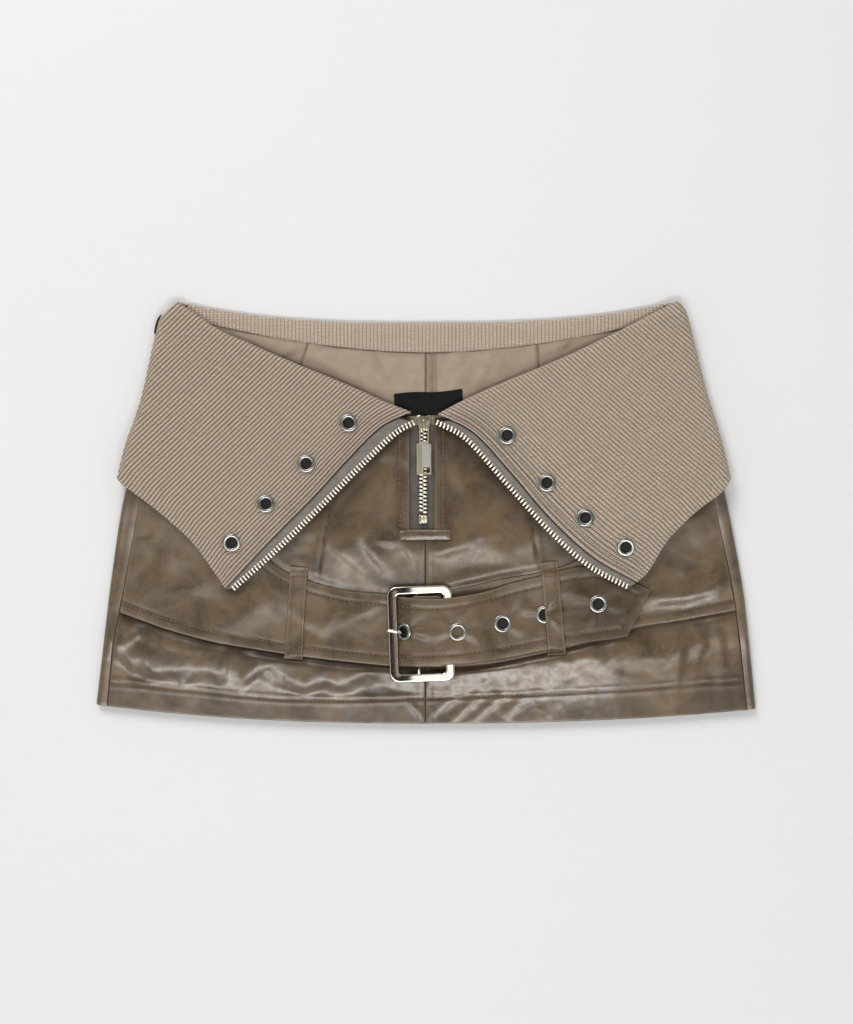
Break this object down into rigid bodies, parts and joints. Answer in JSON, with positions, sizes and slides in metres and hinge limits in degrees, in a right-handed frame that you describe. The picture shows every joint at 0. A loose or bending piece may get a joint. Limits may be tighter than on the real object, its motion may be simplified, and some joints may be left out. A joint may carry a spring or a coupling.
{
  "type": "leather skort",
  "caption": "Short flared leather skort with a wide rib-knit collar turned down over the hips, a zipped front and its own buckled belt, laid flat.",
  "frame": {"origin": "middle of the laid garment's plan, on the surface that it lies on", "axes": "+X across the garment to the right in the picture, +Y from the hem to the waist, +Z off the surface towards the viewer"},
  "size_m": [0.4602, 0.2948, 0.0165],
  "materials": {
    "leather": "waxed, softly glossy, mottled brown",
    "rib_knit": "matte double-knit rib, greige",
    "shorts_cloth": "matte plain tan cloth",
    "zip_tape": "matte grey-taupe woven tape",
    "zip_teeth": "pale gold metal teeth",
    "zip_pull": "pale gold polished metal",
    "buckle_metal": "polished silver",
    "eyelet_metal": "polished nickel",
    "label": "black woven, bare",
    "side_tab": "dark brown woven"
  },
  "bodies": {
    "garment": {"belt_loop_left": "leather", "belt_loop_right": "leather", "buckle_frame": "buckle_metal", "buckle_prong": "buckle_metal", "collar_back": "rib_knit", "collar_inside": "rib_knit", "collar_left": "rib_knit", "collar_right": "rib_knit", "collar_under_left": "rib_knit", "collar_under_right": "rib_knit", "eyelet_left_1": "eyelet_metal", "eyelet_left_2": "eyelet_metal", "eyelet_left_3": "eyelet_metal", "eyelet_left_4": "eyelet_metal", "eyelet_right_1": "eyelet_metal", "eyelet_right_2": "eyelet_metal", "eyelet_right_3": "eyelet_metal", "eyelet_right_4": "eyelet_metal", "hip_band_left": "leather", "hip_band_right": "leather", "label": "label", "shorts_back_left": "shorts_cloth", "shorts_back_right": "shorts_cloth", "shorts_front_left": "shorts_cloth", "shorts_front_right": "shorts_cloth", "side_tab": "side_tab", "skirt_back": "leather", "skirt_front_left": "leather", "skirt_front_right": "leather", "strap_eyelet_1": "eyelet_metal", "strap_eyelet_2": "eyelet_metal", "strap_eyelet_3": "eyelet_metal", "strap_eyelet_4": "eyelet_metal", "strap_eyelet_5": "eyelet_metal", "zip_chain_closed": "zip_teeth", "zip_chain_left": "zip_teeth", "zip_chain_right": "zip_teeth", "zip_slider": "zip_pull", "zip_stop": "zip_teeth", "zip_tape_closed": "zip_tape", "zip_tape_left": "zip_tape", "zip_tape_right": "zip_tape", "zip_welt": "leather"},
    "pull_tab": {"pull_tab": "zip_pull"}
  },
  "joints": [
    {"name": "pull_swing", "type": "hinge", "parent": "garment", "child": "pull_tab", "pos_m": [-0.0014, 0.0586, 0.0102], "axis": [-1, 0, 0], "range_deg": [0, 150]}
  ]
}
